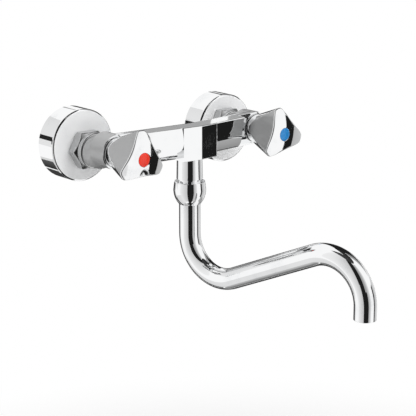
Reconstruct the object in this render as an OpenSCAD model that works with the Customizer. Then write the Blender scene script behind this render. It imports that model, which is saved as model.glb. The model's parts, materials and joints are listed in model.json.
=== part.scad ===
// Wall-mounted two-handle sink mixer with a swivelling under-spout.
// The wall is the plane y = 0, the room lies towards -Y and +Z is up.
// The origin is the axis of the hot (left) wall pipe, on the wall.

/* [Layout] */
// Distance between the two body inlets
inlet_centres = 150; // [130:1:180]
// Offset between the two ends of each eccentric union
union_offset = 3.5; // [1:0.5:6]
// Direction of the hot wall pipe seen from its body inlet, degrees from +X
union_turn = 124; // [0:1:180]
// Height of the handle axes above the body inlets
valve_rise = 4; // [1:0.5:5]

/* [Body] */
// Half height of the cross beam, which is also the outer radius of the valve chambers
beam_half_h = 14.2; // [13:0.1:16]
// Depth of the beam from its front face to its back
beam_depth = 26.3; // [25:0.1:30]
// Distance from the chamber fronts to the front crease of the beam
beam_overhang = 16.1; // [12:0.1:18]
// Angle by which each half of the front turns back
front_turn = 5; // [1:0.5:7]
// Half width of the full-height centre block
block_half_w = 18; // [12:0.5:30]
// Radius of the top corner at the back of the beam
back_top_r = 12; // [4:0.5:13]
// Radius of the bottom corner at the back of the beam
back_bottom_r = 6; // [2:0.5:12]
// Radius of the belly under the front of each arm
belly_r = 16.2; // [12:0.2:20]
// Radius of the slightly bowed upper front of each arm
brow_r = 60; // [40:5:150]
// Radius of the scoop cut round each handle
scoop_r = 27; // [24:0.5:32]
// Radius of the necks behind the chambers
neck_r = 13.2; // [12.5:0.1:14]
// Length of the straight part of each neck
neck_l = 6; // [4:0.5:10]
// Distance from the neck end to the front of the valve chamber
chamber_l = 29; // [28:0.5:34]
// Height of the threaded boss on the chamber front
boss_h = 4; // [2:0.5:5]
// Wall of the threaded boss
boss_wall = 2.1; // [1.5:0.1:2.2]
// Radius of the cross waterway
waterway_r = 4; // [2.5:0.25:4.5]
// Radius of the water hole in the valve seat
seat_hole_r = 5; // [4:0.25:5.5]
// Width of the rim of the valve seat
seat_rim = 1.4; // [0.8:0.1:1.5]

/* [Wall connection] */
// Radius of the wall pipe thread, G 1/2
wall_thread_r = 10.4775; // [10.4:0.0025:10.5]
// Length of the thread that enters the wall
wall_thread_l = 14; // [8:1:30]
// Radius of the thread that carries the union nut, G 3/4
union_thread_r = 13.22; // [13:0.01:13.3]
// Radius of the water bore in the eccentric union and the inlet nipple
union_bore_r = 7.5; // [5:0.25:8]
// Length of the union thread that stands out of the escutcheon
union_reach = 7.5; // [5:0.5:9]
// Spanner size of the hexagon behind the escutcheon
union_hex_af = 27; // [24:0.5:32]
// Radius of the escutcheon
escutcheon_r = 30; // [27:0.5:36]
// Depth of the escutcheon
escutcheon_l = 20.5; // [12:0.5:30]
// Wall thickness of the escutcheon
escutcheon_wall = 1.2; // [0.6:0.1:2]
// Radius of the front edge of the escutcheon
escutcheon_edge_r = 0.8; // [0.2:0.1:1]
// Spanner size of the union nut
nut_af = 30; // [29:0.5:34]
// Length of the hexagon of the union nut
nut_hex_l = 9.2; // [6:0.1:10]
// Wall of the round front of the union nut, round its thread
nut_ring_wall = 1.13; // [0.8:0.05:1.4]
// Thickness of the lip with which the union nut pulls on the nipple
nut_lip = 2.1; // [1.5:0.1:3]
// Thickness of the inlet gasket
gasket_t = 2; // [1:0.25:3]
// Thickness of the flange on the inlet nipple
nipple_flange_t = 2.5; // [1.5:0.25:3]
// Length of the nipple thread inside the body
nipple_thread_l = 10.8; // [8:0.2:11]

/* [Valve] */
// Radius of the headwork thread, G 3/8
head_thread_r = 8.331; // [8.2:0.001:8.4]
// Travel of the valve piston from shut to fully open
valve_travel = 4.5; // [3:0.25:4.5]
// Radius of the piston stem, before its flats
piston_r = 5.1; // [4.9:0.05:5.2]
// Half distance across the flats of the piston stem
piston_flat = 4.6; // [4.4:0.05:4.7]
// Length of the piston stem that the headwork guides when shut
guide_l = 4; // [3:0.25:5]
// Radius of the piston head
piston_head_r = 6.5; // [6.2:0.1:6.7]
// Thickness of the piston head
piston_head_t = 1.8; // [1.4:0.1:2]
// Thickness of the seat washer
seat_washer_t = 2.2; // [1.5:0.1:2.4]
// Radius of the spindle screw
spindle_screw_r = 2.9; // [2.5:0.05:3]
// Radius of the spindle shank that the seals run on
spindle_r = 3.9; // [3.7:0.05:4]
// Width of the square that carries the handle
square_w = 6; // [5.5:0.1:6.2]
// Length of the square that carries the handle
square_l = 7.5; // [6:0.25:9]
// Spanner size of the headwork
bonnet_af = 17; // [15:0.5:18]

/* [Handle] */
// Length of the handle from its base to the middle of its face
handle_l = 35.3; // [34:0.1:42]
// Radius of the round base of the handle
handle_base_r = 12.4; // [12:0.1:13.4]
// Length of the round base before the handle widens
handle_base_l = 1.5; // [0.5:0.1:3]
// Radius at the tips of the handle
handle_tip_r = 22.8; // [20:0.1:23.5]
// Distance from the handle axis to the middle of a side
handle_side = 13.7; // [13:0.1:15]
// Radius of the hollow sweep of each side
handle_sweep_r = 88; // [60:2:200]
// Radius of the rounded corners of the tips
handle_corner_r = 3.5; // [2:0.25:4]
// Radius of the dome of the handle face
handle_dome_r = 80; // [60:5:200]
// Turn of the shut cold handle and its spindle
cold_handle_turn = 13; // [0:1:60]
// Radius of the coloured index cap
cap_r = 5.5; // [5:0.1:7]

/* [Spout] */
// Radius of the spout tube, outside
tube_r = 9; // [8.8:0.1:9.3]
// Wall thickness of the spout tube
tube_wall = 1; // [0.8:0.1:1.2]
// Length of the upright stretch between the swivel joint and the first bend
spout_drop = 38.1; // [20:0.1:80]
// Centreline radius of the first bend
first_bend_r = 34; // [20:0.5:60]
// Centreline radius of the second bend
second_bend_r = 35.5; // [20:0.5:60]
// Climb of the straight stretch above level
spout_climb = 23.5; // [0:0.5:40]
// Length of the climbing straight stretch
spout_straight = 88.2; // [40:0.1:200]
// Length of the upright end of the spout
spout_end = 10; // [4:1:40]
// Swing of the spout at rest, degrees from straight ahead
spout_rest_turn = 10; // [-60:1:60]
// Radius of the outlet stub at its top
stub_top_r = 10.65; // [10.5:0.05:11.5]
// Radius of the outlet stub at its lower end
stub_end_r = 11; // [10.8:0.05:11.5]
// Length of the outlet stub
stub_l = 18.4; // [16:0.1:24]
// Radius of the thread that joins the swivel nut to the stub
swivel_thread_r = 9.55; // [9.3:0.01:9.7]
// Length of the thread of the swivel nut inside the stub
swivel_thread_l = 6.6; // [5:0.1:8]
// Gap between the stub and the swivel nut
swivel_gap = 2.2; // [0.5:0.1:3]
// Radius of the swivel nut at its upper edge
swivel_top_r = 12.85; // [11.5:0.05:13.2]
// Largest radius of the swivel nut
swivel_r = 13.7; // [13.2:0.1:15]
// Height of the upper, nearly straight part of the swivel nut
swivel_upper_h = 7.2; // [4:0.1:9]
// Height of the lower, round part of the swivel nut
swivel_bowl_h = 13.1; // [9:0.1:13.4]
// Radius of the curve of the bowl
swivel_bowl_curve = 19; // [18:0.5:30]
// Depth of the end of the spout tube below the top of the swivel nut
tube_seat_l = 6.5; // [5:0.1:9]
// Length of the turned end inside the spout tube
ferrule_l = 10; // [6:0.5:16]
// Radius of the turned end of the spout that runs in the body
spigot_r = 7.9; // [7.7:0.01:7.95]
// Radius of the water bore in the turned end
spigot_bore_r = 5.3; // [4:0.1:5.4]

/* [Clearances] */
// Radial clearance of a screw thread
thread_gap = 0.05; // [0.02:0.01:0.1]
// Radial clearance of a turning or sliding fit
run_gap = 0.08; // [0.03:0.01:0.1]
// Clearance that a round seal keeps in its bore and groove
seal_gap = 0.03; // [0.02:0.01:0.05]
// Gap between faces that move past each other
face_gap = 0.3; // [0.2:0.05:0.4]
// Gap between the shut seat washer and its seat
seat_gap = 0.05; // [0.03:0.01:0.1]
// Gap between parts that are only slipped over each other
slip_gap = 0.15; // [0.1:0.05:0.3]

/* [Hidden] */
$fn = 96;

// Sides of the mixer: hot is left and cold is right of the spout
HOT = -1;
COLD = 1;
// Overlap that keeps cuts from sharing a face
eps = 0.01;
// Half the corner distance of a hexagon for half its spanner size
hex_corner = 1 / cos(30);

// Places of the axes, as [x, z] on the wall
hot_inlet = -union_offset * [cos(union_turn), sin(union_turn)];
mid_x = hot_inlet[0] + inlet_centres / 2;
valve_z = hot_inlet[1] + valve_rise;
function inlet_x(side) = mid_x + side * inlet_centres / 2;
function wall_axis(side) = [inlet_x(side), hot_inlet[1]]
    - side * union_offset * [cos(union_turn), sin(union_turn)];

// Distances from the wall along an inlet
union_hex_d = 1.5;
union_hex_t = 7;
nut_d = escutcheon_l + 0.5;
union_d = escutcheon_l + union_reach;
flange_d = union_d + gasket_t;
lip_d = flange_d + nipple_flange_t + thread_gap;
nut_front_d = lip_d + nut_lip;
neck_d = nut_front_d + 0.4;
elbow_d = neck_d + neck_l;
socket_d = neck_d + nipple_thread_l + 0.2;

// Radii along an inlet
thread_socket_r = wall_thread_r + thread_gap;
nut_bore_r = union_thread_r + thread_gap;
nut_ring_r = nut_bore_r + nut_ring_wall;
nut_chamfer = 1.2;
nipple_r = wall_thread_r - 0.25;
nipple_flange_r = union_thread_r - 0.6;

// Distances from the wall along a valve
chamber_d = neck_d + chamber_l;
boss_d = chamber_d + boss_h;
crease_d = chamber_d + beam_overhang;
channel_d = chamber_d - waterway_r;
seat_d = socket_d + 5;
seat_floor_d = seat_d - 1;
washer_d = seat_d + seat_gap;
head_d = washer_d + seat_washer_t;
stem_d = head_d + piston_head_t;
guide_d = stem_d + valve_travel + 2 * face_gap;
bonnet_end_d = guide_d - 0.7;
piston_hole_d = head_d + 2.5;
spindle_end_d = piston_hole_d + valve_travel + face_gap;
stem_top_d = guide_d + guide_l;
collar_d = stem_top_d + valve_travel + face_gap;
collar_t = 1.5;
shank_d = collar_d + collar_t + run_gap;
seal_t = 1;
bonnet_flange_t = 1;
bonnet_hex_d = boss_d + seal_t + bonnet_flange_t;
turret_d = bonnet_hex_d + 4;
turret_top_d = turret_d + 5;
clip_d = turret_top_d + 0.1;
clip_t = 0.8;
square_d = clip_d + clip_t + 0.6;
spindle_top_d = square_d + square_l;

// Radii along a valve
boss_r = head_thread_r + thread_gap + boss_wall;
chamber_bore_r = head_thread_r - 0.3;
collar_r = piston_flat - 0.1;
turret_r = spindle_r + 2.6;
clip_r = spindle_r + 1.7;
clip_groove_r = spindle_r - 0.9;
washer_screw_r = 1.5;
washer_screw_head_r = 2.6;
washer_screw_head_h = 1.5;
spindle_seal_r = 0.75;
spindle_seals_d = [shank_d + 2.2, shank_d + 5];

// Distances and radii inside a handle
handle_d = chamber_d + 0.5;
handle_face_d = handle_d + handle_l;
handle_hollow_r = boss_r + 0.4;
handle_hollow_d = turret_d + 0.5;
hub_d = square_d + face_gap;
web_d = spindle_top_d + face_gap;
web_t = 2.7;
screw_head_d = web_d + web_t;
screw_head_h = 2.6;
screw_head_r = 3.6;
handle_screw_r = 2;
screw_hole_l = 7;
screw_key_af = 2.5;
recess_r = screw_head_r + 1;
cap_t = 2.5;
cap_plug_t = 1.8;
cap_dome = 0.5;
cap_dome_r = 25;
cap_d = handle_face_d - cap_t;

// Heights at the outlet, measured from the height of the handle axes
stub_z = -beam_half_h;
stub_end_z = stub_z - stub_l;
swivel_top_z = stub_end_z - swivel_gap;
swivel_wide_z = swivel_top_z - swivel_upper_h;
swivel_end_z = swivel_wide_z - swivel_bowl_h;
shank_top_z = stub_end_z + swivel_thread_l;
ring_z = shank_top_z + run_gap;
ring_t = 1.4;
relief_z = ring_z + ring_t + 1;
spigot_top_z = stub_z - 1.8;
spout_seal_r = 0.75;
spout_seals_z = [spigot_top_z - 2, spigot_top_z - 5];
tube_top_z = swivel_top_z - tube_seat_l;
shoulder_t = 1;
ferrule_end_z = tube_top_z - ferrule_l;
bend_z = tube_top_z - spout_drop;

// Radii at the outlet
seal_bore_r = spigot_r + run_gap;
ring_groove_r = spigot_r - 0.8;
outlet_bore_r = 6.5;
tube_bore_r = tube_r - tube_wall;

// Bend centres and ends of the spout, as [forward, up] from the spout axis
bend_turn = 90 + spout_climb;
first_centre = [first_bend_r, bend_z];
first_end = first_centre + first_bend_r * [cos(180 + bend_turn), sin(180 + bend_turn)];
climb_end = first_end + spout_straight * [cos(spout_climb), sin(spout_climb)];
second_centre = climb_end + second_bend_r * [sin(spout_climb), -cos(spout_climb)];
second_end = second_centre + [second_bend_r, 0];

// Puts its children on the axis of a body inlet, with +Z towards the room
module at_inlet(side) {
    translate([inlet_x(side), 0, hot_inlet[1]]) rotate([90, 0, 0]) children();
}

// Puts its children on the axis of a wall pipe, with +Z towards the room
module at_wall_pipe(side) {
    translate([wall_axis(side)[0], 0, wall_axis(side)[1]]) rotate([90, 0, 0]) children();
}

// Puts its children on the axis of a valve, with +Z towards the room
module at_valve(side) {
    translate([inlet_x(side), 0, valve_z]) rotate([90, 0, 0]) children();
}

// The same, turned as the spindle and handle of that side stand when shut
module at_spindle(side) {
    at_valve(side) rotate([0, 0, side == COLD ? cold_handle_turn : 0]) children();
}

// Puts its children on the spout axis, at the height of the handle axes
module at_outlet() {
    translate([mid_x, -chamber_d, valve_z]) children();
}

// A cylinder from one height to another
module bar(r, from, to) {
    translate([0, 0, from]) cylinder(r = r, h = to - from);
}

// A cone from one height to another
module taper(r_from, r_to, from, to) {
    translate([0, 0, from]) cylinder(r1 = r_from, r2 = r_to, h = to - from);
}

// A hexagon bar of a spanner size, with corners to the left and right
module hex_bar(af, from, to) {
    translate([0, 0, from]) cylinder(r = af / 2 * hex_corner, h = to - from, $fn = 6);
}

// A round bar with two flats, above and below
module flat_bar(r, flat, from, to) {
    intersection() {
        bar(r, from, to);
        translate([-r - 1, -flat, from - 1]) cube([2 * r + 2, 2 * flat, to - from + 2]);
    }
}

// A square bar with its corners rounded off at a radius
module square_bar(width, r, from, to) {
    intersection() {
        bar(r, from, to);
        translate([-width / 2, -width / 2, from - 1]) cube([width, width, to - from + 2]);
    }
}

// A flat ring
module ring(r_out, r_in, from, to) {
    difference() {
        bar(r_out, from, to);
        bar(r_in, from - 1, to + 1);
    }
}

// A round seal of a wire radius, round a circle
module o_ring(circle_r, wire_r, at) {
    translate([0, 0, at]) rotate_extrude() translate([circle_r, 0]) circle(r = wire_r);
}

// A groove for a round seal, cut into a shaft of a radius
module seal_groove(shaft_r, floor_r, wire_r, at) {
    ring(shaft_r + 1, floor_r, at - wire_r - seal_gap, at + wire_r + seal_gap);
}

// What lies outside a rounded corner, in the corner at the origin
module corner_waste(r) {
    difference() {
        translate([-1, -1]) square([r + 1, r + 1]);
        translate([r, r]) circle(r = r);
    }
}

// Section of the centre block: x runs back from the front face, y is up
module block_section() {
    difference() {
        translate([0, -beam_half_h]) square([beam_depth, 2 * beam_half_h]);
        translate([beam_depth, beam_half_h]) rotate(180) corner_waste(back_top_r);
        translate([beam_depth, -beam_half_h]) rotate(90) corner_waste(back_bottom_r);
    }
}

// Section of an arm: a bowed upper front that runs into a round belly
module arm_section() {
    belly_z = belly_r - beam_half_h;
    intersection() {
        block_section();
        union() {
            translate([belly_r, belly_z]) circle(r = belly_r);
            translate([belly_r, -beam_half_h]) square([beam_depth, 2 * beam_half_h]);
            intersection() {
                translate([brow_r, belly_z]) circle(r = brow_r);
                translate([0, belly_z]) square([beam_depth, 2 * beam_half_h]);
            }
        }
    }
}

// One half of the beam, turned back about the crease
module half_beam() {
    translate([0, -crease_d, 0]) rotate([0, 0, front_turn]) rotate([90, 0, 90]) {
        linear_extrude(height = block_half_w) block_section();
        linear_extrude(height = inlet_centres / 2) arm_section();
    }
}

// Neck and chamber, on the valve axis: the neck steps up from the inlet axis
module chamber() {
    elbow_run = socket_d - elbow_d + neck_l;
    elbow_turn = atan2(valve_rise, elbow_run);
    translate([0, -valve_rise, 0]) {
        bar(neck_r, neck_d, elbow_d);
        translate([0, 0, elbow_d]) {
            sphere(r = neck_r);
            rotate([-elbow_turn, 0, 0]) cylinder(r = neck_r, h = elbow_run / cos(elbow_turn));
        }
    }
    bar(beam_half_h, socket_d, chamber_d);
}

// Water space of one valve, on the valve axis
module valve_waterway() {
    translate([0, -valve_rise, 0]) {
        bar(thread_socket_r, neck_d - 1, socket_d);
        bar(union_bore_r, socket_d - 1, seat_floor_d - 2);
    }
    bar(seat_hole_r, socket_d, seat_d + 1);
    difference() {
        bar(chamber_bore_r, seat_floor_d, boss_d);
        bar(seat_hole_r + seat_rim, seat_floor_d - 1, seat_d);
    }
    bar(head_thread_r + thread_gap, bonnet_end_d - face_gap, boss_d + 1);
}

// Cast body: beam, two valve chambers with their necks, and the outlet stub
module body() {
    color("silver") difference() {
        union() {
            difference() {
                translate([mid_x, 0, valve_z]) {
                    half_beam();
                    mirror([1, 0, 0]) half_beam();
                }
                for (side = [HOT, COLD]) at_valve(side) bar(scoop_r, chamber_d, crease_d + 1);
            }
            for (side = [HOT, COLD]) at_valve(side) {
                chamber();
                bar(boss_r, chamber_d - 1, boss_d);
            }
            at_outlet() taper(stub_end_r, stub_top_r, stub_end_z, stub_z + eps);
        }
        for (side = [HOT, COLD]) {
            at_valve(side) valve_waterway();
            at_inlet(side) bar(2 * neck_r, 0, neck_d);
        }
        translate([inlet_x(HOT), -channel_d, valve_z])
            rotate([0, 90, 0]) cylinder(r = waterway_r, h = inlet_centres);
        at_outlet() {
            bar(outlet_bore_r, spigot_top_z, 0);
            bar(seal_bore_r, relief_z - 1, spigot_top_z + face_gap);
            bar(swivel_thread_r + thread_gap, stub_end_z - 1, relief_z);
        }
    }
}

// Swivel nut under the stub, with a threaded shank and a bowl
module swivel_nut() {
    bowl_x = swivel_r - swivel_bowl_curve;
    color("silver") at_outlet() difference() {
        union() {
            bar(swivel_thread_r, swivel_top_z - 1, shank_top_z);
            rotate_extrude() {
                polygon([[0, swivel_wide_z], [swivel_r, swivel_wide_z],
                    [swivel_top_r, swivel_top_z], [0, swivel_top_z]]);
                intersection() {
                    translate([bowl_x, swivel_wide_z]) circle(r = swivel_bowl_curve);
                    translate([0, swivel_end_z]) square([swivel_r, swivel_bowl_h + eps]);
                }
            }
        }
        bar(seal_bore_r + run_gap, tube_top_z, shank_top_z + 1);
        bar(tube_r + run_gap, swivel_end_z - 1, tube_top_z + shoulder_t + face_gap);
    }
}

// Split ring that hangs the spout on top of the swivel nut
module slip_ring() {
    slit_w = 2;
    color("ivory") at_outlet() rotate([0, 0, spout_rest_turn]) difference() {
        ring(swivel_thread_r - face_gap, ring_groove_r + seal_gap, ring_z, ring_z + ring_t);
        translate([-slit_w / 2, 0, ring_z - 1]) cube([slit_w, swivel_r, ring_t + 2]);
    }
}

// Turned end that is brazed into the top of the spout tube
module spout_ferrule() {
    color("silver") at_outlet() difference() {
        union() {
            bar(spigot_r, tube_top_z, spigot_top_z);
            bar(tube_r - seal_gap, tube_top_z, tube_top_z + shoulder_t);
            bar(tube_bore_r, ferrule_end_z, tube_top_z + eps);
        }
        bar(spigot_bore_r, ferrule_end_z - 1, spigot_top_z + 1);
        for (z = spout_seals_z)
            seal_groove(spigot_r, seal_bore_r - 2 * spout_seal_r - 2 * seal_gap, spout_seal_r, z);
        ring(spigot_r + 1, ring_groove_r, ring_z - seal_gap, ring_z + ring_t + seal_gap);
    }
}

// Two round seals on the turned end of the spout
module spout_seals() {
    color("dimgray") at_outlet()
        for (z = spout_seals_z)
            o_ring(seal_bore_r - seal_gap - spout_seal_r, spout_seal_r, z);
}

// Lays its children out in the upright plane of the spout: x forward, y up
module in_spout_plane() {
    at_outlet() rotate([0, 0, spout_rest_turn]) rotate([90, 0, -90]) children();
}

// Round bar from a point of the spout plane, along a direction of that plane
module plane_bar(r, from, turn, l) {
    translate([from[0], from[1], 0]) rotate([0, 0, turn]) rotate([0, 90, 0]) cylinder(r = r, h = l);
}

// Bend of a round bar in the spout plane, counter-clockwise from a direction
module plane_bend(r, centre, bend_r, from) {
    translate([centre[0], centre[1], 0]) rotate([0, 0, from])
        rotate_extrude(angle = bend_turn) translate([bend_r, 0]) circle(r = r);
}

// The whole course of the spout as a round bar, longer at both ends by a bit. The bends
// are a touch thicker, and the straight stretches run a little way into them.
module spout_course(r, longer) {
    lap = 0.5;
    bend_bar_r = r + 0.03;
    climb = [cos(spout_climb), sin(spout_climb)];
    plane_bar(r, [0, bend_z - lap], 90, spout_drop + longer + lap);
    plane_bend(bend_bar_r, first_centre, first_bend_r, 180);
    plane_bar(r, first_end - lap * climb, spout_climb, spout_straight + 2 * lap);
    plane_bend(bend_bar_r, second_centre, second_bend_r, 0);
    plane_bar(r, second_end + [0, lap], -90, spout_end + longer + lap);
}

// Curved spout tube, open at its end
module spout() {
    color("silver") in_spout_plane() difference() {
        spout_course(tube_r, 0);
        spout_course(tube_bore_r, 1);
    }
}

// Thin cup that covers the hole in the wall
module escutcheon(side) {
    edge = escutcheon_edge_r;
    color("silver") difference() {
        at_wall_pipe(side) difference() {
            rotate_extrude() {
                square([escutcheon_r, escutcheon_l - edge]);
                square([escutcheon_r - edge, escutcheon_l]);
                translate([escutcheon_r - edge, escutcheon_l - edge]) circle(r = edge);
            }
            bar(escutcheon_r - escutcheon_wall, -1, escutcheon_l - escutcheon_wall);
        }
        at_inlet(side) bar(union_thread_r + slip_gap, 1, escutcheon_l + 1);
    }
}

// Eccentric union: wall thread, hexagon, and the thread for the union nut
module s_union(side) {
    color("silver") difference() {
        union() {
            at_wall_pipe(side) {
                bar(wall_thread_r, -wall_thread_l, union_hex_d + 1);
                hex_bar(union_hex_af, union_hex_d, union_hex_d + union_hex_t);
            }
            at_inlet(side) bar(union_thread_r, union_hex_d + union_hex_t - 1, union_d);
        }
        at_wall_pipe(side) bar(union_bore_r, -wall_thread_l - 1, union_hex_d + union_hex_t + 1);
        at_inlet(side) bar(union_bore_r, union_hex_d + union_hex_t - 2, union_d + 1);
    }
}

// Union nut: hexagon with turned corners, and a round front
module union_nut(side) {
    hex_end_d = nut_d + nut_hex_l;
    corner_r = nut_af / 2 * hex_corner;
    color("silver") at_inlet(side) difference() {
        union() {
            intersection() {
                hex_bar(nut_af, nut_d, hex_end_d);
                union() {
                    taper(corner_r - nut_chamfer, corner_r, nut_d, nut_d + nut_chamfer / 2);
                    bar(corner_r, nut_d + nut_chamfer / 2, hex_end_d - 2 * nut_chamfer);
                    taper(corner_r, nut_ring_r, hex_end_d - 2 * nut_chamfer, hex_end_d);
                }
            }
            bar(nut_ring_r, hex_end_d - 1, nut_front_d - nut_chamfer / 2);
            taper(nut_ring_r, nut_ring_r - nut_chamfer, nut_front_d - nut_chamfer / 2, nut_front_d);
        }
        bar(nut_bore_r, nut_d - 1, lip_d);
        bar(wall_thread_r + slip_gap, lip_d - 1, nut_front_d + 1);
    }
}

// Flat gasket between the union and the nipple
module inlet_gasket(side) {
    color("dimgray") at_inlet(side) ring(nipple_flange_r, union_bore_r, union_d, flange_d);
}

// Flanged nipple that is screwed into the neck of the body
module inlet_nipple(side) {
    color("silver") at_inlet(side) difference() {
        union() {
            bar(nipple_flange_r, flange_d, flange_d + nipple_flange_t);
            bar(nipple_r, flange_d + 1, socket_d - 1);
            bar(wall_thread_r, neck_d + face_gap, neck_d + nipple_thread_l);
        }
        bar(union_bore_r, flange_d - 1, socket_d + 1);
    }
}

// Headwork: threaded sleeve that guides the piston and carries the spindle
module bonnet(side) {
    color("goldenrod") at_valve(side) difference() {
        union() {
            bar(head_thread_r, bonnet_end_d, bonnet_hex_d);
            bar(boss_r, bonnet_hex_d - bonnet_flange_t, bonnet_hex_d);
            hex_bar(bonnet_af, bonnet_hex_d - eps, turret_d);
            bar(turret_r, turret_d - 1, turret_top_d);
        }
        bar(piston_head_r + face_gap, bonnet_end_d - 1, guide_d);
        flat_bar(piston_r + run_gap, piston_flat + run_gap, guide_d - 1, shank_d);
        bar(spindle_r + run_gap, shank_d - 1, turret_top_d + 1);
    }
}

// Flat seal under the flange of the headwork
module bonnet_seal(side) {
    color("dimgray") at_valve(side)
        ring(boss_r - face_gap, head_thread_r + thread_gap, boss_d, boss_d + seal_t);
}

// Spindle: screw at the back, collar, sealed shank, and the square for the handle
module spindle(side) {
    color("goldenrod") at_spindle(side) difference() {
        union() {
            bar(spindle_screw_r, spindle_end_d, collar_d + 1);
            bar(collar_r, collar_d, collar_d + collar_t);
            bar(spindle_r, collar_d + collar_t - eps, square_d);
            square_bar(square_w, spindle_r, square_d - 1, spindle_top_d);
        }
        for (d = spindle_seals_d)
            seal_groove(spindle_r, spindle_r + run_gap - 2 * spindle_seal_r - 2 * seal_gap,
                spindle_seal_r, d);
        ring(spindle_r + 1, clip_groove_r, clip_d - seal_gap, clip_d + clip_t + seal_gap);
        bar(handle_screw_r + thread_gap, spindle_top_d - screw_hole_l, spindle_top_d + 1);
    }
}

// Two round seals on the spindle
module spindle_seals(side) {
    color("dimgray") at_valve(side)
        for (d = spindle_seals_d)
            o_ring(spindle_r + run_gap - seal_gap - spindle_seal_r, spindle_seal_r, d);
}

// Spring clip that holds the spindle in the headwork
module spindle_clip(side) {
    slit_w = 2.4;
    color("gray") at_valve(side) difference() {
        ring(clip_r, clip_groove_r + seal_gap, clip_d, clip_d + clip_t);
        translate([-slit_w / 2, 0, clip_d - 1]) cube([slit_w, clip_r + 1, clip_t + 2]);
    }
}

// Piston that the spindle screws back and forth on its guide
module piston(side) {
    color("goldenrod") at_valve(side) difference() {
        union() {
            bar(piston_head_r, head_d, stem_d);
            flat_bar(piston_r, piston_flat, stem_d - eps, stem_top_d);
        }
        bar(spindle_screw_r + thread_gap, piston_hole_d, stem_top_d + 1);
        bar(washer_screw_r + thread_gap, head_d - 1, piston_hole_d + eps);
    }
}

// Rubber washer that shuts the seat
module seat_washer(side) {
    color("dimgray") at_valve(side)
        ring(piston_head_r - 0.1, washer_screw_r + thread_gap, washer_d, head_d);
}

// Screw that holds the seat washer to the piston
module washer_screw(side) {
    slot_w = 0.8;
    color("goldenrod") at_valve(side) difference() {
        union() {
            bar(washer_screw_head_r, washer_d - washer_screw_head_h, washer_d);
            bar(washer_screw_r, washer_d - 1, piston_hole_d - face_gap);
        }
        translate([-washer_screw_head_r, -slot_w / 2, washer_d - washer_screw_head_h - 1])
            cube([2 * washer_screw_head_r, slot_w, 1 + slot_w]);
    }
}

// Points along the middle of an arc round a centre, and where its end tangents run on to
function eased_arc(centre, r, from, to, steps) = let (
    step = (to - from) / steps,
    first = from + step / 2,
    last = to - step / 2,
    run = 1.5 * r
) concat(
    [centre + r * [cos(first), sin(first)] - run * [-sin(first), cos(first)]],
    [for (i = [0:steps - 1]) centre + r * [cos(first + i * step), sin(first + i * step)]],
    [centre + r * [cos(last), sin(last)] + run * [-sin(last), cos(last)]]);

// Outline of the handle: three lobes with hollow sides and rounded corners, one lobe up
module handle_outline() {
    sweep_x = handle_side + handle_sweep_r;
    corner_x = handle_tip_r - handle_corner_r;
    reach = handle_sweep_r + handle_corner_r;
    corner_turn = acos((corner_x * corner_x + sweep_x * sweep_x - reach * reach)
        / (2 * corner_x * sweep_x));
    corner = corner_x * [cos(corner_turn), sin(corner_turn)];
    sweep_turn = asin(corner[1] / reach);
    bend = eased_arc(corner, handle_corner_r, -sweep_turn, corner_turn, 8);
    flipped = [for (i = [len(bend) - 1:-1:0]) [bend[i][0], -bend[i][1]]];
    difference() {
        circle(r = handle_tip_r);
        for (turn = [30, 150, 270]) rotate(turn) {
            translate([sweep_x, 0]) circle(r = handle_sweep_r);
            difference() {
                polygon([[corner_x / 2, -2 * handle_tip_r], [2 * handle_tip_r, -2 * handle_tip_r],
                    [2 * handle_tip_r, 2 * handle_tip_r], [corner_x / 2, 2 * handle_tip_r]]);
                polygon(concat([[0, -2 * handle_tip_r]], flipped, bend, [[0, 2 * handle_tip_r]]));
            }
        }
    }
}

// Three-lobed handle, hollow at the back, with a square hub
module handle(side) {
    flare_d = handle_d + handle_base_l;
    rim_d = handle_face_d - handle_dome_r
        + sqrt(handle_dome_r * handle_dome_r - handle_tip_r * handle_tip_r) - 0.6;
    flare = (handle_tip_r - handle_base_r) / (rim_d - flare_d);
    end_d = handle_face_d + 1;
    color("silver") at_spindle(side) difference() {
        union() {
            bar(handle_base_r, handle_d, flare_d + eps);
            intersection() {
                translate([0, 0, flare_d]) linear_extrude(height = end_d - flare_d) handle_outline();
                rotate_extrude() intersection() {
                    polygon([[0, flare_d], [handle_base_r, flare_d],
                        [handle_base_r + flare * (end_d - flare_d), end_d], [0, end_d]]);
                    translate([0, handle_face_d - handle_dome_r]) circle(r = handle_dome_r, $fn = 360);
                }
            }
        }
        bar(handle_hollow_r, handle_d - 1, handle_hollow_d);
        bar(turret_r + 0.7, handle_d, hub_d);
        square_bar(square_w + 2 * run_gap, spindle_r + run_gap, hub_d - 1, web_d);
        bar(handle_screw_r + slip_gap, web_d - 1, screw_head_d + 1);
        bar(recess_r, screw_head_d, cap_d + 1);
        bar(cap_r + thread_gap, cap_d, end_d);
    }
}

// Screw that holds the handle on its square
module handle_screw(side) {
    color("gray") at_valve(side) difference() {
        union() {
            bar(handle_screw_r, spindle_top_d - screw_hole_l + face_gap, screw_head_d + 1);
            bar(screw_head_r, screw_head_d, screw_head_d + screw_head_h);
        }
        hex_bar(screw_key_af, screw_head_d + screw_head_h / 2, screw_head_d + screw_head_h + 1);
    }
}

// Coloured cap that marks hot or cold and covers the handle screw
module index_cap(side) {
    color(side == HOT ? "red" : "royalblue") at_valve(side) {
        bar(recess_r - thread_gap, cap_d - cap_plug_t, cap_d + eps);
        intersection() {
            bar(cap_r, cap_d, handle_face_d + cap_dome + 1);
            translate([0, 0, handle_face_d + cap_dome - cap_dome_r]) sphere(r = cap_dome_r);
        }
    }
}

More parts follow.
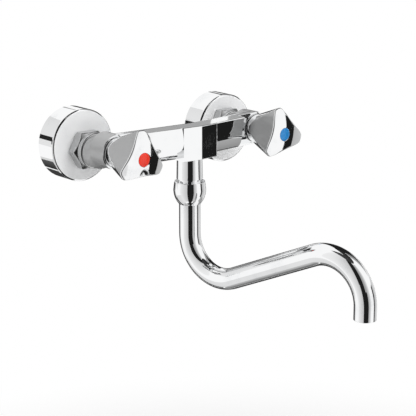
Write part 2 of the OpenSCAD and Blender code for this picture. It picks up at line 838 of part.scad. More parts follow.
body();
swivel_nut();
slip_ring();
spout();
spout_ferrule();
spout_seals();
escutcheon(HOT);  // hot_escutcheon
s_union(HOT);  // hot_s_union
union_nut(HOT);  // hot_union_nut
inlet_gasket(HOT);  // hot_inlet_gasket
inlet_nipple(HOT);  // hot_inlet_nipple
bonnet(HOT);  // hot_bonnet
bonnet_seal(HOT);  // hot_bonnet_seal
spindle(HOT);  // hot_spindle
spindle_seals(HOT);  // hot_spindle_seals
spindle_clip(HOT);  // hot_spindle_clip
piston(HOT);  // hot_piston
seat_washer(HOT);  // hot_seat_washer
washer_screw(HOT);  // hot_washer_screw
handle(HOT);  // hot_handle
handle_screw(HOT);  // hot_handle_screw
index_cap(HOT);  // hot_index_cap
escutcheon(COLD);  // cold_escutcheon
s_union(COLD);  // cold_s_union
union_nut(COLD);  // cold_union_nut
inlet_gasket(COLD);  // cold_inlet_gasket
inlet_nipple(COLD);  // cold_inlet_nipple
bonnet(COLD);  // cold_bonnet
bonnet_seal(COLD);  // cold_bonnet_seal
spindle(COLD);  // cold_spindle
spindle_seals(COLD);  // cold_spindle_seals
spindle_clip(COLD);  // cold_spindle_clip
piston(COLD);  // cold_piston
seat_washer(COLD);  // cold_seat_washer
washer_screw(COLD);  // cold_washer_screw
handle(COLD);  // cold_handle
handle_screw(COLD);  // cold_handle_screw
index_cap(COLD);  // cold_index_cap
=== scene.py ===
"""Finished pieces, finishes and studio of a wall-mounted two-handle sink mixer.

Everything is built round the packed model and in its frame: the wall is y = 0, the room
lies towards -Y, +Z is up and lengths are in metres.
"""

import json
import math

import bmesh
import bpy
from bpy.props import (
    FloatProperty,
    FloatVectorProperty,
    IntProperty,
    PointerProperty,
)
from mathutils import Matrix, Vector

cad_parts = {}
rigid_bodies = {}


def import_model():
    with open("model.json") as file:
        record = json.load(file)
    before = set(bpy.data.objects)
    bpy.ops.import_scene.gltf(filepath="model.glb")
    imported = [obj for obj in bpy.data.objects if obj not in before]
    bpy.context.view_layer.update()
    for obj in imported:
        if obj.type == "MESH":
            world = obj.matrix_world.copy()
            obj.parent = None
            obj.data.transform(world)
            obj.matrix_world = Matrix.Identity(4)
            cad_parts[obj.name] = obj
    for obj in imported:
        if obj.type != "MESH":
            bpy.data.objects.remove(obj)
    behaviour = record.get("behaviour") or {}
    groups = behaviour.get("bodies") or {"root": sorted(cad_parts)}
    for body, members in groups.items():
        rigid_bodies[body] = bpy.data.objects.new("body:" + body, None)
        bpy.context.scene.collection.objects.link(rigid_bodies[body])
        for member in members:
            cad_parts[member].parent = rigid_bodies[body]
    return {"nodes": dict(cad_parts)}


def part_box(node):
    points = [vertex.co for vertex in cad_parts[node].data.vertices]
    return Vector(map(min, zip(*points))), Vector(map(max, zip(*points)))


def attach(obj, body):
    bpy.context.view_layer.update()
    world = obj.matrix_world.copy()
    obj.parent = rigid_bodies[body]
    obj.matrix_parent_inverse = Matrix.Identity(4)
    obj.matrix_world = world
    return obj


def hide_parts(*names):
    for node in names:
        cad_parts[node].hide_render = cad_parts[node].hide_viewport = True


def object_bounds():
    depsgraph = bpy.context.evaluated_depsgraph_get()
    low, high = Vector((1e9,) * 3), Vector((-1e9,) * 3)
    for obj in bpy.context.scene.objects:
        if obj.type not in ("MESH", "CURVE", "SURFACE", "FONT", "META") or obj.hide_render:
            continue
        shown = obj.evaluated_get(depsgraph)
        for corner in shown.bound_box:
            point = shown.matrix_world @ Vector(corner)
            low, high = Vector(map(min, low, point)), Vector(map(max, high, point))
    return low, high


bl_info = {
    "name": "Wall Sink Mixer",
    "version": (1, 0, 0),
    "blender": (4, 5, 0),
    "location": "View3D > Sidebar > Mixer",
    "description": "Builds the finished pieces, finishes and studio of a wall sink mixer",
    "category": "Object",
}

for leftover in list(bpy.data.objects):
    bpy.data.objects.remove(leftover)
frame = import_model()
cad_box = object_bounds()

SIDES = ("hot", "cold")
FULL_TURN = 2 * math.pi
WELD = 1e-6  # points nearer than this are one
FLAT = math.radians(0.3)  # faces turned less than this are one flat
CREASE = math.radians(3)  # large flats turned more than this meet in a crisp edge
FLAT_AREA = 0.00004  # the least area of such a flat
SHARP = math.radians(40)  # faces of any size turned more than this meet in a crisp edge
BACK_FOLD = math.radians(100)  # faces turned more than this fold back on each other
FLANK_TILT = 0.2  # a normal that rises less than this belongs to the flank of a handle, which gets painted shade
CAP_STEPS, TUBE_STEPS, NUT_STEPS = 72, 72, 180  # points round each
GLOW_LAYER = "glow"
CARD_STEP = 0.02  # each card stands this much nearer than the one before it
CARD_ROW, CARD_COLUMN = 4, 3  # the size of a card's faces in degrees


# ---- sizes and looks


def size(name, text, default):
    """A length that a user can change, in metres."""
    return FloatProperty(
        name=name, description=text, default=default, min=0.0, unit="LENGTH", precision=5
    )


def share(name, text, default):
    """A number from 0 to 1 that a user can change."""
    return FloatProperty(
        name=name, description=text, default=default, min=0.0, max=1.0, subtype="FACTOR"
    )


def tint(name, text, default):
    """A colour that a user can change."""
    return FloatVectorProperty(
        name=name, description=text, default=default, min=0.0, max=1.0, size=3, subtype="COLOR"
    )


def angle(name, text, default):
    """An angle that a user can change, given here in degrees."""
    return FloatProperty(
        name=name, description=text, default=math.radians(default), unit="ROTATION"
    )


def count(name, text, default, least):
    """A number of steps that a user can change."""
    return IntProperty(name=name, description=text, default=default, min=least)


class MixerHandleSizes(bpy.types.PropertyGroup):
    """Sizes of the three-lobed handles"""

    length: size("Length", "From the base to the middle of the face", 0.0353)
    base_radius: size("Base radius", "Radius of the round base", 0.0124)
    base_length: size("Base length", "Length of the round base", 0.0015)
    tip_radius: size("Tip radius", "Radius at the tips of the lobes", 0.0231)
    side_distance: size("Side distance", "From the axis to the middle of a side", 0.0137)
    side_sweep: size("Side sweep", "Radius of the hollow sweep of each side", 0.088)
    corner_blend: size("Corner blend", "How far the corners of the lobes are rounded", 0.0060)
    ridge_blend: size("Ridge blend", "How far the ridges along the sides are rounded", 0.0008)
    dome_radius: size("Dome radius", "Radius of the dome of the face", 0.080)
    edge_radius: size("Edge radius", "Radius of the edge round the face", 0.0015)
    bore_radius: size("Bore radius", "Radius of the hollow at the back", 0.01088)
    bore_depth: size("Bore depth", "Depth of the hollow at the back", 0.0150)
    hub_radius: size("Hub radius", "Radius of the recess round the hub", 0.0072)
    hub_depth: size("Hub depth", "Depth of the hub behind the base", 0.0163)
    square_radius: size("Square radius", "Radius round the square of the spindle", 0.0041)
    web_depth: size("Web depth", "Depth of the web that the screw clamps", 0.0238)
    web_thickness: size("Web thickness", "Thickness of that web", 0.0027)
    screw_radius: size("Screw radius", "Radius of the screw hole", 0.00215)
    recess_radius: size("Recess radius", "Radius of the recess over the screw head", 0.0046)
    cap_depth: size("Cap depth", "Depth of the seat of the index cap", 0.0025)
    cold_turn: angle("Cold turn", "Turn of the shut cold handle", 13)
    steps: count("Steps", "Points round a handle", 288, 48)


class MixerTrimSizes(bpy.types.PropertyGroup):
    """Sizes of the covers, nuts, caps and spout"""

    cover_wall: size("Cover wall", "Wall thickness of the wall covers", 0.0012)
    cover_edge: size("Cover edge", "Width of the turned front edge", 0.0013)
    cover_bulge: size("Cover bulge", "How far that edge is rounded", 0.00006)
    cover_hole: size("Cover hole", "Radius of the hole", 0.01337)
    nut_flats: size("Nut flats", "Spanner size of the union nuts", 0.030)
    nut_hex: size("Nut hexagon", "Length of the hexagon", 0.0092)
    nut_ring: size("Nut ring", "Radius of the round front", 0.0144)
    nut_chamfer: size("Nut chamfer", "Size of the turned corners", 0.0012)
    nut_bore: size("Nut bore", "Radius of the bore", 0.01327)
    nut_mouth: size("Nut mouth", "Radius of the front hole", 0.01063)
    nut_lip: size("Nut lip", "Thickness of the front lip", 0.0021)
    swivel_shank: size("Swivel shank", "Radius of the threaded shank", 0.00955)
    swivel_shank_length: size("Swivel shank length", "Length of that shank", 0.0088)
    swivel_top: size("Swivel top", "Radius at the upper edge", 0.01285)
    swivel_radius: size("Swivel radius", "Largest radius of the swivel nut", 0.0137)
    swivel_upper: size("Swivel upper", "Height of the upper part", 0.0072)
    swivel_bowl: size("Swivel bowl", "Height of the bowl", 0.01225)
    swivel_curve: size("Swivel curve", "Radius of the curve of the bowl", 0.019)
    swivel_bore: size("Swivel bore", "Radius of the bore round the spigot", 0.00806)
    tube_bore: size("Tube bore", "Radius of the bore round the spout tube", 0.00908)
    tube_seat: size("Tube seat", "Depth of that bore below the shank", 0.0052)
    tube_radius: size("Tube radius", "Outer radius of the spout tube", 0.009)
    tube_wall: size("Tube wall", "Wall thickness of the spout tube", 0.001)
    tube_rim: size("Tube rim", "How far the ends are rounded", 0.00022)
    spout_drop: size("Spout drop", "Upright stretch above the first bend", 0.0381)
    first_bend: size("First bend", "Centreline radius of the first bend", 0.034)
    second_bend: size("Second bend", "Centreline radius of the second bend", 0.0355)
    spout_straight: size("Spout straight", "Length of the climbing stretch", 0.0882)
    spout_end: size("Spout end", "Length of the upright end of the spout", 0.010)
    spout_climb: angle("Spout climb", "Climb of the straight stretch above level", 23.5)
    spout_turn: angle("Spout turn", "Swing of the spout at rest", 10)
    cast_edge: size("Cast edge", "Width of the eased edges of the body", 0.0009)
    cast_long: size("Cast long", "Least length of an edge that is eased", 0.009)
    # behind the polished front and beyond the waist the end castings get satin roughness and
    # painted shade, a darker chrome colour
    cast_back: size("Cast back", "Distance from the wall where the polished front begins", 0.0632)
    cast_front: size("Cast front", "Distance from the wall where the sharp crease begins", 0.0770)
    cast_waist: size("Cast waist", "From the middle to where the satin end castings begin", 0.060)
    cap_radius: size("Cap radius", "Radius of the index caps", 0.0055)
    cap_plug: size("Cap plug", "Radius of the plug behind the cap", 0.00455)
    cap_plug_depth: size("Cap plug depth", "Length of that plug", 0.0018)
    cap_gap: size("Cap gap", "Gap round the index caps", 0.00005)
    cap_dome: size("Cap dome", "Radius of the dome", 0.025)
    turn_steps: count("Turn steps", "Points round a turned piece", 128, 24)
    bend_steps: count("Bend steps", "Steps along a bend", 48, 8)


class MixerLooks(bpy.types.PropertyGroup):
    """Colours and finishes"""

    chrome: tint("Chrome", "Colour of the plated skin", (0.93, 0.935, 0.94))
    chrome_shade: tint("Chrome shade", "Colour of handled plating", (0.84, 0.85, 0.86))
    polish: share("Polish", "Roughness of clean plating", 0.035)
    dulled: share("Dulled", "Roughness of handled plating", 0.11)
    brass: tint("Brass", "Colour of turned brass", (0.72, 0.52, 0.23))
    brass_shade: tint("Brass shade", "Colour of tarnished brass", (0.46, 0.31, 0.13))
    steel: tint("Steel", "Colour of stainless steel", (0.62, 0.61, 0.59))
    steel_shade: tint("Steel shade", "Colour of dull stainless steel", (0.45, 0.45, 0.45))
    rubber: tint("Rubber", "Colour of the seals", (0.030, 0.030, 0.032))
    ring: tint("Ring", "Colour of the slip ring", (0.82, 0.79, 0.70))
    hot: tint("Hot", "Colour of the hot index cap", (0.86, 0.035, 0.012))
    cold: tint("Cold", "Colour of the cold index cap", (0.012, 0.235, 0.60))


class MixerStudio(bpy.types.PropertyGroup):
    """Camera, lamps and cards"""

    camera_place: FloatVectorProperty(
        name="Camera", description="Place of the camera", default=(-0.67588, -0.97770, 0.25317),
        size=3, subtype="TRANSLATION"
    )
    camera_pitch: angle("Camera pitch", "Pitch of the camera from straight down", 75.3)
    camera_turn: angle("Camera turn", "Turn of the camera about the upright", -40.23)
    lens: FloatProperty(name="Lens", description="Focal length in mm", default=126.11, min=10.0)
    floor_depth: size("Floor depth", "Height of the mixer above the floor", 0.30)
    floor_radius: size("Floor radius", "Radius of the floor", 0.62)
    ambient: share("Ambient", "Light from all round on matt surfaces", 0.55)
    card_distance: size("Card distance", "From the middle of the mixer to the cards", 3.0)


# ---- places on the mixer


def middle(node):
    """Centre of a node's box."""
    low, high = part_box(node)
    return (low + high) / 2


def out_of_wall(node):
    """Local axes at a node's centre: X right, Y up and Z out of the wall, from the wall on."""
    centre = middle(node)
    turned = Matrix.Rotation(math.radians(90), 4, "X")
    return Matrix.Translation((centre.x, 0, centre.z)) @ turned


def reach(node):
    """Least and greatest distance of a node from the wall."""
    low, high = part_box(node)
    return -high.y, -low.y


def outlet_axis():
    """Local axes on the spout axis, at the height of the wall pipes."""
    centre = middle("swivel_nut")
    return Matrix.Translation((centre.x, centre.y, 0))


# ---- mesh helpers


def ease(mesh, items, width, segments, affect="EDGES"):
    """Rounds off edges or corners."""
    bmesh.ops.bevel(
        mesh, geom=items, offset=width, offset_type="OFFSET", segments=segments, profile=0.5,
        affect=affect, material=-1
    )


def lathe(mesh, outline, steps):
    """Turns a closed outline of (radius, height, fillet) corners about the local Z axis."""
    corners = [mesh.verts.new((radius, 0, height)) for radius, height, _ in outline]
    mesh.faces.new(corners)
    for corner, (_, _, fillet) in zip(corners, outline):
        if fillet > 0:
            ease(mesh, [corner], fillet, segments=6, affect="VERTICES")
    mesh.faces.ensure_lookup_table()
    section = mesh.faces[0]
    edges, points = list(section.edges), list(section.verts)
    bmesh.ops.delete(mesh, geom=[section], context="FACES_ONLY")
    bmesh.ops.spin(
        mesh, geom=points + edges, cent=(0, 0, 0), axis=(0, 0, 1), angle=FULL_TURN,
        steps=steps, use_merge=True
    )
    bmesh.ops.remove_doubles(mesh, verts=mesh.verts, dist=WELD)


def first_ring(mesh, steps, radius=1.0):
    """A new open circle. Returns its points and its edges."""
    points = bmesh.ops.create_circle(mesh, segments=steps, radius=radius)["verts"]
    return points, list(dict.fromkeys(edge for point in points for edge in point.link_edges))


def open_edges(items):
    """The edges with only one face among some mesh items."""
    return [item for item in items if isinstance(item, bmesh.types.BMEdge) and item.is_boundary]


def next_ring(mesh, edges):
    """Extrudes a ring where it is. Returns the points and the edges of the new ring."""
    made = bmesh.ops.extrude_edge_only(mesh, edges=edges)["geom"]
    return [item for item in made if isinstance(item, bmesh.types.BMVert)], open_edges(made)


def loft(mesh, rings, steps, closed=True):
    """Skins rings. Each is a function of the angle that gives a radius and a height."""
    points, first = first_ring(mesh, steps)
    edges = first
    for number, ring in enumerate(rings):
        if number:
            points, edges = next_ring(mesh, edges)
        for point in points:
            turn = math.atan2(point.co.y, point.co.x)
            radius, height = ring(turn)
            point.co = (radius * math.cos(turn), radius * math.sin(turn), height)
    if closed:
        bmesh.ops.bridge_loops(mesh, edges=first + edges)


def level(radius, height):
    """A round ring for loft."""
    return lambda turn: (radius, height)


def crest(top, curve, away):
    """Height of a round crest at a distance from its middle."""
    return top - curve + math.sqrt(curve * curve - away * away)


def rounded_edge(radius, top, edge, lift):
    """Radius and height on a rounded edge, at a lift in degrees from its side."""
    lift = math.radians(lift)
    return radius - edge + edge * math.cos(lift), top - edge + edge * math.sin(lift)


def soft_min(a, b, blend):
    """The lesser of two lengths, rounded off where they cross."""
    near = max(blend - abs(a - b), 0.0) / blend
    return min(a, b) - near * near * blend / 4


def is_crisp(edge):
    """Whether an edge stays sharp: a steep one, or one between two large flats."""
    turn = edge.calc_face_angle(0.0)
    least = min((face.calc_area() for face in edge.link_faces), default=0.0)
    return turn > SHARP or (turn > CREASE and least > FLAT_AREA)


def make_object(mesh, name, materials):
    """Puts a bmesh into the scene as an object with materials."""
    data = bpy.data.meshes.new(name)
    mesh.to_mesh(data)
    mesh.free()
    for material in materials:
        data.materials.append(material)
    made = bpy.data.objects.new(name, data)
    bpy.context.scene.collection.objects.link(made)
    return made


def add_piece(mesh, name, place, finishes, body, nodes):
    """Makes a finished piece of a bmesh, in place of the nodes that it stands for."""
    bmesh.ops.transform(mesh, matrix=place, verts=mesh.verts)
    bmesh.ops.remove_doubles(mesh, verts=mesh.verts, dist=WELD)
    bmesh.ops.recalc_face_normals(mesh, faces=mesh.faces)
    for face in mesh.faces:
        face.smooth = True
    for edge in mesh.edges:
        edge.smooth = not is_crisp(edge)
    piece = make_object(mesh, name, [finish(kind) for kind in finishes])
    weighted = piece.modifiers.new("Even normals", "WEIGHTED_NORMAL")
    weighted.keep_sharp = True
    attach(piece, body)
    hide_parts(*nodes)
    return piece


# ---- finishes


def feed(tree, node, values):
    """Sets the inputs of a node to plain values, or links them to other sockets."""
    for label, value in values.items():
        if isinstance(value, bpy.types.NodeSocket):
            tree.links.new(value, node.inputs[label])
        else:
            node.inputs[label].default_value = value


def add_node(tree, kind, values=None):
    """A new shader node with its inputs fed."""
    node = tree.nodes.new(f"ShaderNode{kind}")
    feed(tree, node, values or {})
    return node


def noise(tree, vector, scale, detail):
    """A noise texture."""
    node = add_node(tree, "TexNoise", {"Vector": vector, "Scale": scale, "Detail": detail})
    return node.outputs["Fac"]


def compute(tree, operation, *values):
    """The result of a Math node."""
    node = add_node(tree, "Math", dict(enumerate(values)))
    node.operation = operation
    return node.outputs[0]


def ramp(tree, value, low, high, start=0.0, end=1.0):
    """A smooth map from one range to another."""
    node = add_node(tree, "MapRange", {
        "Value": value, "From Min": low, "From Max": high, "To Min": start, "To Max": end
    })
    node.interpolation_type = "SMOOTHSTEP"
    return node.outputs["Result"]


def colour_mix(tree, mask, plain, marked):
    """One colour where the mask is 0 and another where it is 1."""
    factor, first, second, result = 0, 6, 7, 2  # where the colour sockets of a Mix node stand
    node = add_node(tree, "Mix")
    node.data_type = "RGBA"
    feed(tree, node, {factor: mask, first: (*plain, 1), second: (*marked, 1)})
    return node.outputs[result]


def bump(tree, height, strength, depth):
    """A normal raised by a height, to a depth in metres."""
    node = add_node(tree, "Bump", {"Height": height, "Strength": strength, "Distance": depth})
    return node.outputs["Normal"]


def node_group(name, inputs, outputs):
    """A new shader group with a vector and named numbers, its inputs and its end node."""
    group = bpy.data.node_groups.new(name, "ShaderNodeTree")
    group.interface.new_socket("Vector", in_out="INPUT", socket_type="NodeSocketVector")
    for label, default in inputs.items():
        socket = group.interface.new_socket(label, in_out="INPUT", socket_type="NodeSocketFloat")
        socket.default_value = default
    for label in outputs:
        group.interface.new_socket(label, in_out="OUTPUT", socket_type="NodeSocketFloat")
    return group, group.nodes.new("NodeGroupInput").outputs, group.nodes.new("NodeGroupOutput")


def handling_marks():
    """Group: where a polished skin has been touched and water has dried."""
    group, given, result = node_group(
        "Handling Marks", {"Scale": 60.0, "Clean": 0.03, "Touched": 0.1}, ("Mask", "Roughness")
    )
    place, scale = given["Vector"], given["Scale"]
    smeared, specked, faintest, finer = (0.48, 0.72), (0.35, 0.7), 0.4, 14.0
    smears = ramp(group, noise(group, place, scale, 3.0), *smeared)
    specks = noise(group, place, compute(group, "MULTIPLY", scale, finer), 2.0)
    mask = compute(group, "MULTIPLY", smears, ramp(group, specks, *specked, faintest))
    rough = ramp(group, mask, 0.0, 1.0, given["Clean"], given["Touched"])
    feed(group, result, {"Mask": mask, "Roughness": rough})
    return group


def plated_skin():
    """Group: the slight waves and fine grain of a polished and plated skin."""
    group, given, result = node_group("Plated Skin", {"Waves": 90.0, "Grain": 0.06}, ("Height",))
    place, scale, finer = given["Vector"], given["Waves"], 22.0
    waves = noise(group, place, scale, 1.0)
    grain = noise(group, place, compute(group, "MULTIPLY", scale, finer), 2.0)
    grain = compute(group, "MULTIPLY", grain, given["Grain"])
    feed(group, result, {"Height": compute(group, "ADD", waves, grain)})
    return group


def turning_marks():
    """Group: fine grooves that a lathe leaves across the Y axis."""
    group, given, result = node_group(
        "Turning Marks", {"Pitch": 900.0, "Spread": 0.4}, ("Height", "Mask")
    )
    grooves = add_node(group, "TexWave", {
        "Vector": given["Vector"], "Scale": given["Pitch"], "Distortion": given["Spread"],
        "Detail": 2.0, "Detail Scale": 3.0
    })
    grooves.wave_type = "BANDS"
    grooves.bands_direction = "Y"
    blotch_scale, tarnished = 160.0, (0.4, 0.75)
    tarnish = ramp(group, noise(group, given["Vector"], blotch_scale, 4.0), *tarnished)
    feed(group, result, {"Height": grooves.outputs["Fac"], "Mask": tarnish})
    return group


GROUPS = {}


def placed_group(tree, build, **settings):
    """The outputs of a shared group, which is built once."""
    if build not in GROUPS:
        GROUPS[build] = build()
    node = add_node(tree, "Group")
    node.node_tree = GROUPS[build]
    feed(tree, node, settings)
    return node.outputs


def blank_material(name):
    """A material with its shader and the object's own coordinates."""
    material = bpy.data.materials.new(name)
    material.use_nodes = True
    tree = material.node_tree
    place = add_node(tree, "TexCoord").outputs["Object"]
    return material, tree, tree.nodes["Principled BSDF"], place


def chrome(name, looks, waves, depth, marks=45.0, satin=0.0, metal=1.0, shade=1.0):
    """Chrome plating over a brass casting, bar or tube. Satin is added to its roughness; shade
    scales its colour, as painted shade below 1 and painted sheen above 1.
    """
    material, tree, shader, place = blank_material(name)
    touched = placed_group(
        tree, handling_marks, Vector=place, Scale=marks, Clean=looks.polish + satin,
        Touched=looks.dulled + satin
    )
    skin = placed_group(tree, plated_skin, Vector=place, Waves=waves, Grain=0.02)
    clean, handled = (
        [shade * channel for channel in colour] for colour in (looks.chrome, looks.chrome_shade)
    )
    feed(tree, shader, {
        "Base Color": colour_mix(tree, touched["Mask"], clean, handled),
        "Roughness": touched["Roughness"], "Metallic": metal,
        "Normal": bump(tree, skin["Height"], 1.0, depth)
    })
    return material


def turned_metal(name, bright, dull, rough, pitch, tarnish=0.18):
    """Bare turned metal with fine grooves and a little tarnish, which adds to its roughness."""
    material, tree, shader, place = blank_material(name)
    marks = placed_group(tree, turning_marks, Vector=place, Pitch=pitch)
    feed(tree, shader, {
        "Base Color": colour_mix(tree, marks["Mask"], bright, dull),
        "Roughness": ramp(tree, marks["Mask"], 0.0, 1.0, rough, rough + tarnish),
        "Metallic": 1.0, "Normal": bump(tree, marks["Height"], 0.5, 0.00002)
    })
    return material


def moulded(name, colour, rough, coat, marks=220.0, grain=700.0, scuff=0.14, darker=0.82):
    """Moulded plastic or rubber with a fine grain and faint scuffs, darker and rougher."""
    material, tree, shader, place = blank_material(name)
    scuffs = placed_group(
        tree, handling_marks, Vector=place, Scale=marks, Clean=rough, Touched=rough + scuff
    )
    skin = placed_group(tree, plated_skin, Vector=place, Waves=grain, Grain=0.5)
    scuffed = [darker * channel for channel in colour]
    feed(tree, shader, {
        "Base Color": colour_mix(tree, scuffs["Mask"], colour, scuffed),
        "Roughness": scuffs["Roughness"], "Coat Weight": coat,
        "Normal": bump(tree, skin["Height"], 0.4, 0.00003)
    })
    return material


def card_glow(name):
    """The plain light of the cards, which takes its grey from each card's own vertices."""
    material = bpy.data.materials.new(name)
    material.use_nodes = True
    tree = material.node_tree
    tree.nodes.clear()
    shade = add_node(tree, "Attribute")
    shade.attribute_name = GLOW_LAYER
    light = add_node(tree, "Emission", {"Color": shade.outputs["Color"]})
    add_node(tree, "OutputMaterial", {0: light.outputs[0]})
    return material


def finish(name):
    """A finish by its name, made once."""
    if name in bpy.data.materials:
        return bpy.data.materials[name]
    looks = bpy.context.scene.mixer_looks
    brass = looks.brass, looks.brass_shade
    # each recipe with its settings, in their order
    recipes = {
        "cast_chrome": (chrome, looks, 60.0, 0.000010),
        # painted shade: the necks' chrome colour is scaled down to 0.44 for their grey reflections,
        # with satin roughness
        "cast_satin": (chrome, looks, 80.0, 0.000012, 45.0, 0.30, 0.40, 0.44),
        # painted shade: the union nuts' chrome colour is scaled down to 0.58 for their grey
        # reflections, with a little satin roughness
        "nut_chrome": (chrome, looks, 110.0, 0.000008, 45.0, 0.10, 1.0, 0.58),
        "turned_chrome": (chrome, looks, 110.0, 0.000006),
        # painted sheen: a pale, mostly matt colour lighter than the chrome stands in for the
        # covers' bright reflection, with satin roughness
        "satin_chrome": (chrome, looks, 70.0, 0.000010, 45.0, 0.30, 0.10, 1.05),
        "drawn_chrome": (chrome, looks, 45.0, 0.000006),
        "handle_chrome": (chrome, looks, 80.0, 0.000009, 70.0),
        # painted shade: the flanks' chrome colour is scaled down to 0.44 for their darker
        # reflections, with satin roughness
        "handle_satin": (chrome, looks, 80.0, 0.000009, 70.0, 0.14, 0.30, 0.44),
        "turned_brass": (turned_metal, *brass, 0.22, 1400.0),
        "union_brass": (turned_metal, *brass, 0.34, 900.0),
        "spring_steel": (turned_metal, looks.steel, looks.steel_shade, 0.26, 2200.0),
        "seal_rubber": (moulded, looks.rubber, 0.55, 0.0),
        "slip_ring_plastic": (moulded, looks.ring, 0.38, 0.1),
        "hot_plastic": (moulded, looks.hot, 0.22, 0.1),
        "cold_plastic": (moulded, looks.cold, 0.22, 0.1),
        "card_glow": (card_glow,),
    }
    recipe, *settings = recipes[name]
    return recipe(name, *settings)


# ---- pieces


def handle_rings(sizes, base, cap_radius):
    """The rings of a handle, from its round base to its face and down its inside."""
    lip, flare_drop, last_lift = 0.0002, 0.0006, 75
    flank_steps, face_steps = 34, 16
    flare_at = base + sizes.base_length
    face = base + sizes.length
    sweep_at = sizes.side_distance + sizes.side_sweep
    edge = sizes.edge_radius

    def dome(radius):
        return crest(face, sizes.dome_radius, radius)

    rim = dome(sizes.tip_radius) - flare_drop
    flare = (sizes.tip_radius - sizes.base_radius) / (rim - flare_at)

    def outline(turn):
        side = math.remainder(turn - math.radians(30), FULL_TURN / 3)
        under = sizes.side_sweep ** 2 - (sweep_at * math.sin(side)) ** 2
        hollow = sweep_at * math.cos(side) - math.sqrt(max(under, 0.0))
        return soft_min(sizes.tip_radius, hollow, sizes.corner_blend)

    def flank(part):
        def ring(turn):
            top = dome(outline(turn) - edge) - edge
            height = flare_at + (top - flare_at) * part
            cone = sizes.base_radius + flare * (height - flare_at)
            return soft_min(outline(turn), cone, sizes.ridge_blend), height
        return ring

    def rounding(lift):
        def ring(turn):
            radius = flank(1.0)(turn)[0]
            return rounded_edge(radius, dome(radius - edge), edge, lift)
        return ring

    def face_ring(part):
        def ring(turn):
            outer = rounding(last_lift)(turn)[0]
            radius = outer + (cap_radius - outer) * part
            return radius, dome(radius)
        return ring

    rings = [level(sizes.base_radius - lip, base), level(sizes.base_radius, base + lip)]
    rings += [level(sizes.base_radius, base + sizes.base_length * part) for part in (0.4, 0.8)]
    rings += [flank(number / flank_steps) for number in range(1, flank_steps + 1)]
    rings += [rounding(lift) for lift in (15, 30, 45, 60, last_lift)]
    rings += [face_ring(number / face_steps) for number in range(1, face_steps)]
    seat, web = face - sizes.cap_depth, base + sizes.web_depth
    web_top, hub, bore = web + sizes.web_thickness, base + sizes.hub_depth, base + sizes.bore_depth
    inside = (
        (cap_radius + lip, dome(cap_radius)), (cap_radius, dome(cap_radius) - lip),
        (cap_radius, seat), (sizes.recess_radius, seat), (sizes.recess_radius, web_top),
        (sizes.screw_radius, web_top), (sizes.screw_radius, web), (sizes.square_radius, web),
        (sizes.square_radius, hub), (sizes.hub_radius, hub), (sizes.hub_radius, bore),
        (sizes.bore_radius, bore), (sizes.bore_radius, base + lip), (sizes.bore_radius + lip, base)
    )
    return rings + [level(*spot) for spot in inside]


class MIXER_OT_handles(bpy.types.Operator):
    """Build the two three-lobed handles"""

    bl_idname = "mixer.handles"
    bl_label = "Handles"

    def execute(self, context):
        sizes, trim = context.scene.mixer_handle, context.scene.mixer_trim
        for side in SIDES:
            base, _ = reach(f"{side}_handle")
            mesh = bmesh.new()
            loft(mesh, handle_rings(sizes, base, trim.cap_radius + trim.cap_gap), sizes.steps)
            bmesh.ops.recalc_face_normals(mesh, faces=mesh.faces)
            # the flanks get satin roughness and painted shade, a darker chrome colour standing in
            # for their darker reflections
            for face in mesh.faces:
                face.material_index = int(abs(face.normal.z) < FLANK_TILT)
            turn = Matrix.Rotation(sizes.cold_turn if side == "cold" else 0.0, 4, "Z")
            add_piece(
                mesh, f"{side}_lobed_handle", out_of_wall(f"{side}_bonnet") @ turn,
                ["handle_chrome", "handle_satin"], f"{side}_handle", [f"{side}_handle"]
            )
        return {"FINISHED"}


class MIXER_OT_index_caps(bpy.types.Operator):
    """Build the red and blue index caps"""

    bl_idname = "mixer.index_caps"
    bl_label = "Index caps"

    def execute(self, context):
        trim = context.scene.mixer_trim
        lip, edge, centre_hole = 0.0001, 0.0004, 0.0008
        plug, wide, dome = trim.cap_plug, trim.cap_radius, trim.cap_dome
        for side, shade in zip(SIDES, ("red", "blue")):
            back, top = reach(f"{side}_index_cap")
            seat = back + trim.cap_plug_depth
            rim = crest(top, dome, wide)
            rings = [
                level(centre_hole, back), level(plug - lip, back), level(plug, back + lip),
                level(plug, seat), level(wide, seat), level(wide, rim - edge)
            ]
            rings += [level(*rounded_edge(wide, rim, edge, lift)) for lift in (20, 40, 60, 78)]
            for part in (0.85, 0.7, 0.55, 0.4, 0.25, 0.12, 0.05):
                radius = (wide - edge) * part
                rings.append(level(radius, crest(top, dome, radius)))
            mesh = bmesh.new()
            loft(mesh, rings, CAP_STEPS, closed=False)
            bmesh.ops.holes_fill(mesh, edges=mesh.edges, sides=0)
            add_piece(
                mesh, f"{side}_index_button", out_of_wall(f"{side}_index_cap"),
                [f"{side}_plastic"], f"{side}_handle", [f"{side}_index_cap"]
            )
        return {"FINISHED"}


